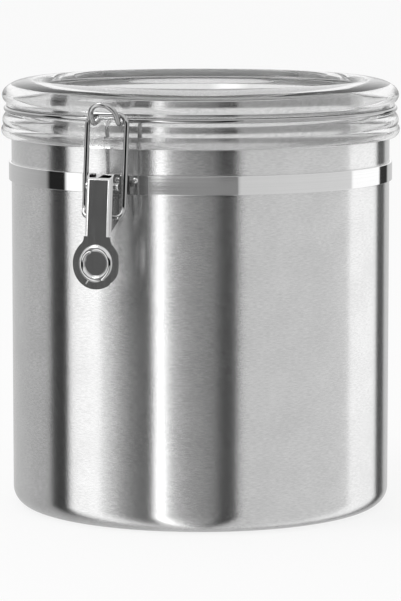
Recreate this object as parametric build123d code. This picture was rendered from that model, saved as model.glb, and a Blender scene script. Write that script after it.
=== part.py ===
from build123d import *
import os
from math import asin, cos, degrees, radians, sin, sqrt

# A steel food canister with a clear lid that a wire bail latch holds shut.
# The origin is the middle of the flat base, +Z is up, the latch faces -Y and the lid's hinge +Y.
# Lengths are millimetres and angles are degrees.

# Can: deep-drawn steel with a rounded foot, a pressed ring in its base, a shoulder under the lid and
# a neck that ends in a folded hem
can_diameter = 179.2
can_height = 196.7
can_wall = 0.6
can_foot_radius = 8.5
neck_rise = 14.7
neck_inset = 1.7
neck_root_bend = 0.6
can_shoulder_bend = 0.8
hem_width = 1.3
hem_depth = 4.0
base_ring_diameter = 132.0
base_ring_width = 7.0
base_ring_rise = 1.0

# Band: a polished strip round the can that carries the latch and the hinge
band_drop = 18.1
band_height = 8.6
band_thickness = 1.2
band_clearance = 0.1
band_split = 1.0

# Hat brackets: one behind the latch lever and one at the hinge, riveted to the band by their feet
bracket_sheet = 0.9
bracket_clearance = 0.05
hat_corner_radius = 1.5
foot_length = 11.2
foot_corner_radius = 1.2
knuckle_radius = 3.5
web_lead = 2.7
latch_standoff = 10.6
hinge_standoff = 5.6

# Rivets through each bracket foot and the band
rivet_diameter = 1.6
rivet_head_diameter = 2.6
rivet_head_height = 0.6
rivet_play = 0.02
rivet_offset = 5.7
rivet_rise = 2.2

# Wire of the bail and of the lid's ring
wire_diameter = 2.4
wire_bend = 2.6
wire_play = 0.08

# Lid: one clear moulding with grip ribs outside and a dished top
lid_overhang = 4.85
skirt_drop = 6.2
skirt_clearance = 1.7
skirt_edge_inset = 1.3
lid_rise = 6.0
crest_inset = 10.0
dish_depth = 3.7
dish_shoulder = 5.6
plate_thickness = 2.6
neck_gap = 0.6
rib_thickness = 1.6
rib_gap = 0.3

# Gasket: soft ring in the lid's underside, on the can's rim
gasket_width = 3.0
gasket_height = 1.2
gasket_play = 0.1
gasket_corner_radius = 0.4

# Ring wire in the lid's groove, with the hook at the front and the hinge legs at the back
ring_rise = 6.9
ring_inset = 2.4
hook_side_gap = 1.05
hook_foot = 6.35
hook_crown = 11.95
hook_rise = 7.5
hook_foot_drop = 1.7
hook_knee_bend = 2.0
ring_corner_lead = 2.86
hinge_leg_gap = 2.1
hinge_end_inset = 1.0
hinge_leg_bend = 2.2

# Bail: the wire loop between the lever and the hook
bail_spread = 3.35
bail_corner_bend = 4.5
bail_bar_reach = 4.95
bail_bar_rise = 2.7
bail_leg_rise = 3.6
bail_leg_setback = 2.2
bail_leg_bend = 6.0
bail_end_inset = 0.7
bail_tuck = 0.55

# Lever: a pressed channel that ends in a round thumb plate
lever_sheet = 0.9
lever_width = 13.0
lever_side_gap = 0.4
lever_corner_radius = 1.8
lever_lean = 4.9
face_offset = 4.7
flange_depth = 8.5
flange_top_rise = 5.6
face_top_rise = 2.8
flange_foot_drop = 15.0
flange_end_drop = 22.6
flange_slope_depth = 1.8
flange_slope_rise = 2.6
bail_hole_drop = 13.64
bail_hole_play = 0.1
thumb_drop = 34.7
thumb_diameter = 23.2
thumb_neck_radius = 4.0
bead_diameter = 13.8
bead_width = 3.0
bead_height = 1.1
bead_dish = 0.3

# Pivot pin of the lever
pin_diameter = 2.6
pin_play = 0.05
pin_head_diameter = 3.8
pin_head_height = 1.6
pin_head_chamfer = 0.3
pin_head_gap = 0.1

# How far a cutting tool runs past what it cuts
overrun = 1.0

# Outline of the lid below the wire groove, from the skirt's edge up:
# height as a share of the skirt below the groove, reach as a share of the overhang
lower_rib_shares = {
    "edge_round": (0.073, 0.82),
    "low_rib": (0.29, 1.0),
    "low_waist": (0.38, 0.94),
    "low_notch": (0.465, 0.75),
    "high_rib": (0.71, 0.87),
    "groove_lip": (0.905, 0.64),
}
# and above it: height as a share of the lid above the groove, reach as a share of the overhang
upper_rib_shares = {
    "shoulder_foot": (0.12, 0.47),
    "shoulder_start": (0.257, 0.80),
    "shoulder": (0.40, 0.907),
}
# The straight neck of a bracket's knuckle, as a share of the way from its root to its pivot
neck_share = 0.5
# Where the shoulder's curve is pulled to: share of its height, share of its reach
shoulder_curve_share = 0.55
# The slope from the crest into the dish: share of the shoulder's width, share of the dish's depth
dish_mid_shares = (0.49, 0.80)
dish_foot_shares = (0.10, 0.16)

# Places that follow from the sizes
can_radius = can_diameter / 2
can_shoulder_height = can_height - neck_rise
neck_radius = can_radius - neck_inset
band_base = can_shoulder_height - band_drop - band_height
band_middle = band_base + band_height / 2
band_inner_radius = can_radius + band_clearance
band_outer_radius = band_inner_radius + band_thickness
foot_inner_radius = band_outer_radius + bracket_clearance
foot_outer_radius = foot_inner_radius + bracket_sheet
hat_width = lever_width - 2 * (lever_sheet + lever_side_gap)
foot_reach = hat_width / 2 + foot_length
rivet_reach = hat_width / 2 + rivet_offset
pin_radius = pin_diameter / 2
wire_radius = wire_diameter / 2
latch_pivot_y = -(band_outer_radius + latch_standoff)
hinge_pivot_y = band_outer_radius + hinge_standoff
lid_base = can_shoulder_height - skirt_drop
lid_top = can_height + lid_rise
lid_radius = can_radius + lid_overhang
crest_radius = can_radius - crest_inset
skirt_inner_radius = can_radius + skirt_clearance
bore_radius = neck_radius + neck_gap
gasket_outer_radius = bore_radius - gasket_play
gasket_inner_radius = gasket_outer_radius - gasket_width
gasket_base = can_height + gasket_play
channel_top = gasket_base + gasket_height + gasket_play
rib_outer_radius = gasket_inner_radius - gasket_play
rib_inner_radius = rib_outer_radius - rib_thickness
ring_radius = lid_radius - ring_inset
ring_height = can_shoulder_height + ring_rise
groove_half_height = wire_radius + wire_play
groove_floor_radius = ring_radius - wire_radius - wire_play
bail_half_width = lever_width / 2 + bail_spread
hook_half_width = bail_half_width - wire_diameter - hook_side_gap
hinge_leg_offset = hat_width / 2 + wire_radius + hinge_leg_gap
bail_bar_y = -(ring_radius + bail_bar_reach)
bail_bar_height = ring_height + bail_bar_rise
bail_pivot_y = latch_pivot_y - bail_hole_drop * sin(radians(lever_lean))
bail_pivot_height = band_middle - bail_hole_drop * cos(radians(lever_lean))


def turned(*edges):
    """A solid of revolution about Z, from edges drawn as (radius, height)."""
    return revolve(Plane.XZ * make_face(edges), axis=Axis.Z)


def tube(inner_radius, outer_radius, base, height):
    """A plain ring that stands on a given height."""
    ring = Circle(outer_radius) - Circle(inner_radius)
    return extrude(Pos(Z=base) * ring, amount=height)


def bar_along_x(radius, start, end, y, z):
    """A round bar parallel to X between two X places."""
    return extrude(Plane(origin=(start, y, z), z_dir=(1, 0, 0)) * Circle(radius), amount=end - start)


def both_sides(half):
    """A half on +X joined to its mirror image."""
    return half + mirror(half, about=Plane.YZ)


def swept_wire(path):
    """Round wire along a path that starts in the plane X = 0."""
    return sweep(Plane(origin=path @ 0, z_dir=path % 0) * Circle(wire_radius), path=path)


def can_body():
    """The drawn can, with its pressed base ring, rounded foot, shoulder, neck and folded hem."""
    inner_radius = can_radius - can_wall
    hem_radius = hem_width / 2
    hem_inner_radius = neck_radius - hem_width
    neck_inner_radius = neck_radius - can_wall
    bend_centre = (can_radius - can_shoulder_bend, can_shoulder_height - can_shoulder_bend)
    root_centre = (neck_radius + neck_root_bend, can_shoulder_height + neck_root_bend)
    foot_centre = can_radius - can_foot_radius
    mid_share = sin(radians(45))
    outer_mid = can_shoulder_bend * mid_share
    inner_mid = (can_shoulder_bend - can_wall) * mid_share
    root_mid = neck_root_bend * mid_share
    inner_root_mid = (neck_root_bend + can_wall) * mid_share
    inner_foot = can_foot_radius - can_wall
    ring_in = base_ring_diameter / 2 - base_ring_width / 2
    ring_out = base_ring_diameter / 2 + base_ring_width / 2
    slope = base_ring_rise
    outside = (
        Line((0, 0), (ring_in, 0)),
        Line((ring_in, 0), (ring_in + slope, base_ring_rise)),
        Line((ring_in + slope, base_ring_rise), (ring_out - slope, base_ring_rise)),
        Line((ring_out - slope, base_ring_rise), (ring_out, 0)),
        Line((ring_out, 0), (foot_centre, 0)),
        ThreePointArc(
            (foot_centre, 0),
            (
                foot_centre + can_foot_radius * mid_share,
                can_foot_radius * (1 - mid_share),
            ),
            (can_radius, can_foot_radius),
        ),
        Line((can_radius, can_foot_radius), (can_radius, bend_centre[1])),
        ThreePointArc(
            (can_radius, bend_centre[1]),
            (bend_centre[0] + outer_mid, bend_centre[1] + outer_mid),
            (bend_centre[0], can_shoulder_height),
        ),
        Line((bend_centre[0], can_shoulder_height), (root_centre[0], can_shoulder_height)),
        ThreePointArc(
            (root_centre[0], can_shoulder_height),
            (root_centre[0] - root_mid, root_centre[1] - root_mid),
            (neck_radius, root_centre[1]),
        ),
        Line((neck_radius, root_centre[1]), (neck_radius, can_height - hem_radius)),
    )
    hem = (
        ThreePointArc(
            (neck_radius, can_height - hem_radius),
            (neck_radius - hem_radius, can_height),
            (hem_inner_radius, can_height - hem_radius),
        ),
        Line((hem_inner_radius, can_height - hem_radius), (hem_inner_radius, can_height - hem_depth)),
        Line((hem_inner_radius, can_height - hem_depth), (neck_inner_radius, can_height - hem_depth)),
    )
    inside = (
        Line((neck_inner_radius, can_height - hem_depth), (neck_inner_radius, root_centre[1])),
        ThreePointArc(
            (neck_inner_radius, root_centre[1]),
            (root_centre[0] - inner_root_mid, root_centre[1] - inner_root_mid),
            (root_centre[0], can_shoulder_height - can_wall),
        ),
        Line((root_centre[0], can_shoulder_height - can_wall), (bend_centre[0], can_shoulder_height - can_wall)),
        ThreePointArc(
            (bend_centre[0], can_shoulder_height - can_wall),
            (bend_centre[0] + inner_mid, bend_centre[1] + inner_mid),
            (inner_radius, bend_centre[1]),
        ),
        Line((inner_radius, bend_centre[1]), (inner_radius, can_foot_radius)),
        ThreePointArc(
            (inner_radius, can_foot_radius),
            (
                foot_centre + inner_foot * mid_share,
                can_foot_radius - inner_foot * mid_share,
            ),
            (foot_centre, can_wall),
        ),
        Line((foot_centre, can_wall), (ring_out, can_wall)),
        Line((ring_out, can_wall), (ring_out - slope, base_ring_rise + can_wall)),
        Line((ring_out - slope, base_ring_rise + can_wall), (ring_in + slope, base_ring_rise + can_wall)),
        Line((ring_in + slope, base_ring_rise + can_wall), (ring_in, can_wall)),
        Line((ring_in, can_wall), (0, can_wall)),
        Line((0, can_wall), (0, 0)),
    )
    return turned(*outside, *hem, *inside)


def rivet_places():
    """(turn about Z, height) of the four rivets, two on each bracket."""
    turn = degrees(asin(rivet_reach / band_outer_radius))
    height = band_middle + rivet_rise
    return {
        "front": [(-90 - turn, height), (-90 + turn, height)],
        "rear": [(90 - turn, height), (90 + turn, height)],
    }


def drilled(piece, places, radius):
    """A piece of sheet with a radial hole for each rivet."""
    reach = foot_outer_radius + overrun
    for turn, height in places:
        hole = Plane(origin=(0, 0, height), z_dir=(cos(radians(turn)), sin(radians(turn)), 0))
        piece -= extrude(hole * Circle(radius), amount=reach)
    return piece


def clamp_band():
    """The strip round the can, split behind the hinge bracket."""
    band = tube(band_inner_radius, band_outer_radius, band_base, band_height)
    gap_depth = band_thickness + 2 * overrun
    split = Box(band_split, gap_depth, band_height + 2 * overrun)
    band -= Pos(0, band_inner_radius + band_thickness / 2, band_middle) * split
    places = rivet_places()
    return drilled(band, places["front"] + places["rear"], rivet_diameter / 2 + rivet_play)


def hat_bracket(pivot_reach, hole_radius, places):
    """A hat-shaped bracket on -Y: two curved feet on the band and a looped hat with a cross hole."""
    web_outer = pivot_reach + web_lead
    hat_length = web_outer - can_radius
    hat_inner_width = hat_width - 2 * bracket_sheet
    foot_turn = asin(foot_reach / foot_outer_radius)
    outer_hat = Pos(0, -(can_radius + hat_length / 2)) * Rectangle(hat_width, hat_length)
    ring = Circle(foot_outer_radius) - Circle(foot_inner_radius)
    wedge_reach = foot_outer_radius + overrun
    wedge = make_face(
        Polyline(
            (0, 0),
            (wedge_reach * sin(-foot_turn) / cos(foot_turn), -wedge_reach),
            (wedge_reach * sin(foot_turn) / cos(foot_turn), -wedge_reach),
            close=True,
        )
    )
    feet = ring & wedge
    bore = Circle(foot_inner_radius)
    hat = outer_hat - bore
    tip_corners = hat.vertices().sort_by(Axis.Y)[:2]
    hat = fillet(tip_corners, hat_corner_radius)
    plan = hat + feet
    roots = [v for v in plan.vertices() if abs(abs(v.X) - hat_width / 2) < can_wall / 2]
    roots = [v for v in roots if abs(sqrt(v.X**2 + v.Y**2) - foot_outer_radius) < can_wall / 2]
    plan = fillet(roots, foot_corner_radius)
    hollow_length = hat_length - bracket_sheet
    hollow = Pos(0, -(can_radius + hollow_length / 2)) * Rectangle(hat_inner_width, hollow_length)
    plan -= fillet(hollow.vertices().sort_by(Axis.Y)[:2], hat_corner_radius - bracket_sheet)
    blank = extrude(Pos(Z=band_base) * plan, amount=band_height)
    root_reach = foot_outer_radius + foot_corner_radius
    neck_reach = pivot_reach - (pivot_reach - root_reach) * neck_share
    nose = make_face(
        Polyline(
            (-root_reach, band_base),
            (-neck_reach, band_middle - knuckle_radius),
            (-pivot_reach, band_middle - knuckle_radius),
            (-pivot_reach, band_middle + knuckle_radius),
            (-neck_reach, band_middle + knuckle_radius),
            (-root_reach, band_base + band_height),
            close=True,
        )
    )
    nose += Pos(-pivot_reach, band_middle) * Circle(knuckle_radius)
    flank = extrude(Plane.YZ * nose, amount=hat_width, both=True)
    foot_zone_depth = root_reach
    foot_zone = Pos(0, -foot_zone_depth / 2, band_middle) * Box(
        4 * foot_reach, foot_zone_depth, band_height
    )
    bracket = blank & (flank + foot_zone)
    bracket -= bar_along_x(hole_radius, -hat_width, hat_width, -pivot_reach, band_middle)
    return drilled(bracket, places, rivet_diameter / 2 + rivet_play)


def rivets(places):
    """Round-headed rivets from the band's inner face to over the bracket's foot."""
    shank_radius = rivet_diameter / 2
    head_radius = rivet_head_diameter / 2
    start = band_inner_radius + band_clearance
    seat = foot_outer_radius
    profile = make_face(
        [
            Line((start, 0), (seat + rivet_head_height, 0)),
            ThreePointArc(
                (seat + rivet_head_height, 0),
                (seat + rivet_head_height * cos(radians(30)), head_radius * sin(radians(45))),
                (seat, head_radius),
            ),
            Line((seat, head_radius), (seat, shank_radius)),
            Line((seat, shank_radius), (start, shank_radius)),
            Line((start, shank_radius), (start, 0)),
        ]
    )
    rivet = revolve(profile, axis=Axis.X)
    return Compound(children=[Pos(Z=height) * Rot(Z=turn) * rivet for turn, height in places])


def pivot_pin():
    """The pin through the front bracket's hat and the lever's flanges, headed at both ends."""
    seat = lever_width / 2 + pin_head_gap
    head = bar_along_x(pin_head_diameter / 2, seat, seat + pin_head_height, latch_pivot_y, band_middle)
    rim = head.edges().filter_by(GeomType.CIRCLE).sort_by(Axis.X)[-1]
    head = chamfer(rim, pin_head_chamfer)
    shank = bar_along_x(pin_radius, 0, seat + pin_head_height / 2, latch_pivot_y, band_middle)
    return both_sides(shank + head)


def lever_flank():
    """Side outline of the channel as (out from the pivot, up from the pivot)."""
    back = face_offset - flange_depth
    return make_face(
        Polyline(
            (face_offset, face_top_rise),
            (face_offset - flange_slope_rise, flange_top_rise),
            (back, flange_top_rise),
            (back, -flange_foot_drop),
            (face_offset - flange_slope_depth, -flange_end_drop + flange_slope_rise),
            (face_offset - lever_sheet / 2, -flange_end_drop),
            (face_offset, -flange_end_drop),
            close=True,
        )
    )


def thumb_bead():
    """The pressed ring of the thumb plate, as a turned sheet about the plate's middle."""
    outer = bead_diameter / 2 + bead_width / 2
    inner = bead_diameter / 2 - bead_width / 2
    crest = bead_diameter / 2
    front = face_offset
    back = face_offset - lever_sheet
    sheet = make_face(
        [
            Line((0, front - bead_dish), (inner, front - bead_dish)),
            ThreePointArc((inner, front - bead_dish), (crest, front + bead_height), (outer, front)),
            Line((outer, front), (outer, back)),
            ThreePointArc((outer, back), (crest, back + bead_height), (inner, back - bead_dish)),
            Line((inner, back - bead_dish), (0, back - bead_dish)),
            Line((0, back - bead_dish), (0, front - bead_dish)),
        ]
    )
    return revolve(sheet, axis=Axis.Y)


def lever():
    """The latch lever: channel, flanges with their holes, neck and beaded thumb plate."""
    flank = Plane.YZ * mirror(lever_flank(), about=Plane.YZ)
    channel = extrude(flank, amount=lever_width / 2, both=True)
    long_edges = [
        e
        for e in channel.edges().filter_by(Axis.Z)
        if abs(e.center().Y + face_offset) < lever_sheet / 2
    ]
    channel = fillet(long_edges, lever_corner_radius)
    inner_width = lever_width - 2 * lever_sheet
    tall = 2 * (flange_end_drop + flange_top_rise)
    deep = flange_depth + overrun
    hollow = Pos(0, deep / 2 - face_offset + lever_sheet, -flange_foot_drop / 2) * Box(
        inner_width, deep, tall
    )
    inner_edges = [
        e for e in hollow.edges().filter_by(Axis.Z) if e.center().Y < lever_sheet - face_offset / 2
    ]
    hollow = fillet(inner_edges, lever_corner_radius - lever_sheet)
    channel -= hollow
    thumb_radius = thumb_diameter / 2
    neck_length = thumb_drop - flange_foot_drop
    outline = Pos(0, -flange_foot_drop - neck_length / 2) * Rectangle(lever_width, neck_length)
    outline += Pos(0, -thumb_drop) * Circle(thumb_radius)
    necks = [v for v in outline.vertices() if -thumb_drop < v.Y < -flange_end_drop]
    outline = fillet(necks, thumb_neck_radius)
    plate_plane = Plane(origin=(0, -face_offset, 0), x_dir=(1, 0, 0), z_dir=(0, -1, 0))
    plate = extrude(plate_plane * outline, amount=-lever_sheet)
    upper_half = Pos(0, -face_offset, -flange_end_drop / 2) * Box(
        2 * lever_width, 4 * lever_sheet, flange_end_drop
    )
    plate -= upper_half
    plate -= Pos(0, -face_offset, -thumb_drop) * extrude(
        Plane.XZ * Circle(bead_diameter / 2 + bead_width / 2), amount=2 * lever_sheet, both=True
    )
    bead = Pos(0, 0, -thumb_drop) * Rot(Z=180) * thumb_bead()
    body = channel + plate + bead
    body -= bar_along_x(pin_radius + pin_play, -lever_width, lever_width, 0, 0)
    body -= bar_along_x(wire_radius + bail_hole_play, -lever_width, lever_width, 0, -bail_hole_drop)
    return Pos(0, latch_pivot_y, band_middle) * Rot(X=-lever_lean) * body


def bail():
    """The wire loop: a top bar in the hook, two legs, and ends turned in through the lever."""
    end_x = lever_width / 2 - lever_sheet - bail_end_inset
    leg_end = (bail_half_width, bail_pivot_y + bail_leg_setback, bail_pivot_height + bail_leg_rise)
    turn_in_x = bail_half_width - bail_tuck
    path = FilletPolyline(
        (0, bail_bar_y, bail_bar_height),
        (bail_half_width, bail_bar_y, bail_bar_height),
        leg_end,
        (turn_in_x, bail_pivot_y, bail_pivot_height),
        (end_x, bail_pivot_y, bail_pivot_height),
        radius=[bail_corner_bend, bail_leg_bend, wire_bend],
    )
    return both_sides(swept_wire(path))


def ring_corner(x, front):
    """Where the ring leaves its circle: (corner point, start of the circle) for a leg at X."""
    start_x = x + ring_corner_lead
    side = -1 if front else 1
    start_y = side * sqrt(ring_radius**2 - start_x**2)
    run = (start_x - x) * ring_radius / abs(start_y)
    corner_y = start_y + side * run * start_x / ring_radius
    return (x, corner_y, ring_height), (start_x, start_y, ring_height)


def lid_ring_wire():
    """One wire: an arched hook, both sides of the ring in the groove, and the hinge legs."""
    foot_y = -(ring_radius + hook_foot)
    foot_height = ring_height - hook_foot_drop
    crown_y = -(ring_radius + hook_crown)
    crown = Vector(0, crown_y, ring_height + hook_rise)
    down_slope = Vector(0, foot_y, foot_height) - crown
    arch_share = hook_half_width / down_slope.length
    spring = crown + down_slope * arch_share + Vector(hook_half_width, 0, 0)
    haunch_share = sin(radians(45))
    haunch = crown + down_slope * (arch_share * (1 - haunch_share))
    haunch += Vector(hook_half_width * haunch_share, 0, 0)
    front_corner, ring_start = ring_corner(hook_half_width, front=True)
    rear_corner, ring_end = ring_corner(hinge_leg_offset, front=False)
    wall_inside = hat_width / 2 - bracket_sheet
    arch = ThreePointArc(crown, haunch, spring)
    foot = FilletPolyline(
        spring,
        (hook_half_width, foot_y, foot_height),
        front_corner,
        ring_start,
        radius=[hook_knee_bend, wire_bend],
    )
    side = ThreePointArc(ring_start, (ring_radius, 0, ring_height), ring_end)
    leg = FilletPolyline(
        ring_end,
        rear_corner,
        (hinge_leg_offset, hinge_pivot_y, ring_height),
        (hinge_leg_offset, hinge_pivot_y, band_middle),
        (wall_inside - hinge_end_inset, hinge_pivot_y, band_middle),
        radius=[hinge_leg_bend, wire_bend, wire_bend],
    )
    path = Wire([*arch.edges(), *foot.edges(), *side.edges(), *leg.edges()])
    return both_sides(swept_wire(path))


def rib_point(shares, base, height):
    """A point of the lid's ribbed side from its share of a height and of the overhang."""
    return (can_radius + shares[1] * lid_overhang, base + shares[0] * height)


def lid():
    """The clear moulding: ribbed skirt, wire groove, shoulder, dished top, gasket channel and tapered bore."""
    groove_base = ring_height - groove_half_height
    groove_top = ring_height + groove_half_height
    low = {
        name: rib_point(shares, lid_base, groove_base - lid_base)
        for name, shares in lower_rib_shares.items()
    }
    high = {
        name: rib_point(shares, groove_top, lid_top - groove_top)
        for name, shares in upper_rib_shares.items()
    }
    groove_floor = (groove_floor_radius, ring_height)
    groove_mouth_radius = ring_radius
    crest = (crest_radius, lid_top)
    dish_level = lid_top - dish_depth
    dish_radius = crest_radius - dish_shoulder
    shoulder_reach = high["shoulder"][0] - crest_radius
    shoulder_height = lid_top - high["shoulder"][1]
    dish_mid = (
        crest_radius - dish_shoulder * dish_mid_shares[0],
        dish_level + dish_depth * dish_mid_shares[1],
    )
    dish_foot = (
        dish_radius + dish_shoulder * dish_foot_shares[0],
        dish_level + dish_depth * dish_foot_shares[1],
    )
    skirt_edge = (skirt_inner_radius + skirt_edge_inset, lid_base)
    outside = (
        Line((skirt_inner_radius, lid_base), skirt_edge),
        ThreePointArc(skirt_edge, low["edge_round"], low["low_rib"]),
        ThreePointArc(
            low["low_rib"],
            low["low_waist"],
            low["low_notch"],
        ),
        ThreePointArc(low["low_notch"], low["high_rib"], low["groove_lip"]),
        Line(low["groove_lip"], (groove_mouth_radius, groove_base)),
        ThreePointArc((groove_mouth_radius, groove_base), groove_floor, (groove_mouth_radius, groove_top)),
        Line((groove_mouth_radius, groove_top), high["shoulder_foot"]),
        ThreePointArc(high["shoulder_foot"], high["shoulder_start"], high["shoulder"]),
        Bezier(
            high["shoulder"],
            (high["shoulder"][0], high["shoulder"][1] + shoulder_height * shoulder_curve_share),
            (crest_radius + shoulder_reach * shoulder_curve_share, lid_top),
            crest,
        ),
        ThreePointArc(crest, dish_mid, dish_foot),
        Line(dish_foot, (dish_radius, dish_level)),
        Line((dish_radius, dish_level), (0, dish_level)),
    )
    under_plate = dish_level - plate_thickness
    rib_base = can_height + rib_gap
    inside = (
        Line((0, dish_level), (0, under_plate)),
        Line((0, under_plate), (rib_inner_radius, under_plate)),
        Line((rib_inner_radius, under_plate), (rib_inner_radius, rib_base)),
        Line((rib_inner_radius, rib_base), (rib_outer_radius, rib_base)),
        Line((rib_outer_radius, rib_base), (rib_outer_radius, channel_top)),
        Line((rib_outer_radius, channel_top), (bore_radius, channel_top)),
        Line((bore_radius, channel_top), (skirt_inner_radius, lid_base)),
    )
    return turned(*outside, *inside)


def gasket():
    """The soft sealing ring between the rim and the lid's channel."""
    middle = (gasket_inner_radius + gasket_outer_radius) / 2
    section = Pos(middle, gasket_base + gasket_height / 2) * RectangleRounded(
        gasket_width, gasket_height, gasket_corner_radius
    )
    return revolve(Plane.XZ * section, axis=Axis.Z)


def pieces():
    """Every node of the canister by name."""
    places = rivet_places()
    pin_hole = pin_radius + rivet_play
    hinge_hole = wire_radius + wire_play
    rear_places = [(turn + 180, height) for turn, height in places["rear"]]
    return {
        "can_body": can_body(),
        "clamp_band": clamp_band(),
        "latch_bracket": hat_bracket(-latch_pivot_y, pin_hole, places["front"]),
        "hinge_bracket": Rot(Z=180) * hat_bracket(hinge_pivot_y, hinge_hole, rear_places),
        "latch_bracket_rivets": rivets(places["front"]),
        "hinge_bracket_rivets": rivets(places["rear"]),
        "lever_pivot_pin": pivot_pin(),
        "latch_lever": lever(),
        "latch_bail": bail(),
        "lid": lid(),
        "lid_gasket": gasket(),
        "lid_ring_wire": lid_ring_wire(),
    }


os.makedirs("parts", exist_ok=True)
for name, piece in pieces().items():
    export_step(piece, f"parts/{name}.step")
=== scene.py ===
"""A steel food canister with a clear lid and a wire bail latch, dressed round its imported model.

The origin is the middle of the flat base, +Z is up, the latch faces -Y and the lid's hinge +Y.
Lengths are metres. Angles are radians where a name doesn't say degrees.
"""

import logging
import math
from dataclasses import dataclass, field
from enum import Enum, IntEnum

import bmesh
import bpy
from mathutils import Matrix, Vector


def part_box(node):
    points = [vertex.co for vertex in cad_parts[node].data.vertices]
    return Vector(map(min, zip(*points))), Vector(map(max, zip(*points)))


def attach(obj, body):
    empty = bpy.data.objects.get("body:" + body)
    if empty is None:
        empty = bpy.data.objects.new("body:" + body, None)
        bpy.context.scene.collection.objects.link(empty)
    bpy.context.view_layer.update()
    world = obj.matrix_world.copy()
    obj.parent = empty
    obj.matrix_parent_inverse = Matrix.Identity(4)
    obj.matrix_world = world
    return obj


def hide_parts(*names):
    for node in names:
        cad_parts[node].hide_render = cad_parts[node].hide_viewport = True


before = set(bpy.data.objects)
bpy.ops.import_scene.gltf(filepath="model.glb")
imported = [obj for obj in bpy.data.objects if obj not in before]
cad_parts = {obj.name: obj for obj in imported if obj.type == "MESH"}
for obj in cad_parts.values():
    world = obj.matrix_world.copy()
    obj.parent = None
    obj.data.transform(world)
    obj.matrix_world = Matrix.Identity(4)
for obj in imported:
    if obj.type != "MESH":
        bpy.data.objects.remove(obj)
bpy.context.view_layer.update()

MM = 0.001
MERGE_DISTANCE = 0.0005 * MM
NECK_RISE = 14.7 * MM
GASKET_PLAY = 0.1 * MM
WIRE_RADIUS = 1.2 * MM
WIRE_END_ROUND = 0.3 * MM
WIRE_SIDES = 28
WIRE_SHARP_DEGREES = 50.0
FLAT_DEGREES = 0.5
FLAT_WEIGHT = 80
CORNER_SHARE = math.sin(math.pi / 4)
log = logging.getLogger("canister")

Pair = tuple[float, float]
Triple = tuple[float, float, float]
Colour = tuple[float, float, float, float]


class Body(Enum):
    """The moving bodies of the canister."""

    CAN = "canister"
    LEVER = "lever"
    BAIL = "bail"
    LID = "lid"


class Ray(IntEnum):
    """The outputs of a Light Path node that are used."""

    CAMERA = 0
    GLOSSY = 3
    TRANSMISSION = 6


class Slot(Enum):
    """The finishes named in the canister's record."""

    CAN = "can_steel"
    BAND = "band_steel"
    RIVET = "rivet_steel"
    LEVER = "lever_steel"
    WIRE = "wire_steel"
    LID = "clear_lid"
    GASKET = "gasket_silicone"


class Maths:
    """A socket of a node tree that takes part in Python arithmetic."""

    def __init__(self, bench: "Bench", socket: bpy.types.NodeSocket) -> None:
        """Keeps the bench that adds nodes and the socket that holds the value."""
        self.bench = bench
        self.socket = socket

    def _with(self, operation: str, *others: "Maths | float") -> "Maths":
        """Adds one Math node on this value and others."""
        values = {i: value for i, value in enumerate((self, *others))}
        return self.bench.node("ShaderNodeMath", {"operation": operation}, values)[0]

    def __add__(self, other: "Maths | float") -> "Maths":
        """Sum."""
        return self._with("ADD", other)

    __radd__ = __add__

    def __sub__(self, other: "Maths | float") -> "Maths":
        """Difference."""
        return self._with("SUBTRACT", other)

    def __rsub__(self, other: float) -> "Maths":
        """Difference from a number."""
        return (self * -1.0) + other

    def __mul__(self, other: "Maths | float") -> "Maths":
        """Product."""
        return self._with("MULTIPLY", other)

    __rmul__ = __mul__

    def angle_with(self, other: "Maths") -> "Maths":
        """The angle whose sine is like this value and whose cosine is like the other."""
        return self._with("ARCTAN2", other)

    def step(self, low: float, high: float) -> "Maths":
        """A smooth rise from 0 at low to 1 at high.

        Args:
            low: the value where the rise starts.
            high: the value where it ends.

        Returns:
            The share of the rise.
        """
        settings = {"interpolation_type": "SMOOTHSTEP"}
        values = {"Value": self, "From Min": low, "From Max": high}
        return self.bench.node("ShaderNodeMapRange", settings, values)[0]

    def between(self, low: float, high: float, soft: float) -> "Maths":
        """1 from low to high and 0 elsewhere, with soft borders of that width."""
        rise = self.step(low - soft / 2, low + soft / 2)
        fall = self.step(high - soft / 2, high + soft / 2)
        return rise * (1.0 - fall)

    def towards(self, other: float, share: "Maths") -> "Maths":
        """This value moved towards a number by a share."""
        return self * (1.0 - share) + share * other


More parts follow.
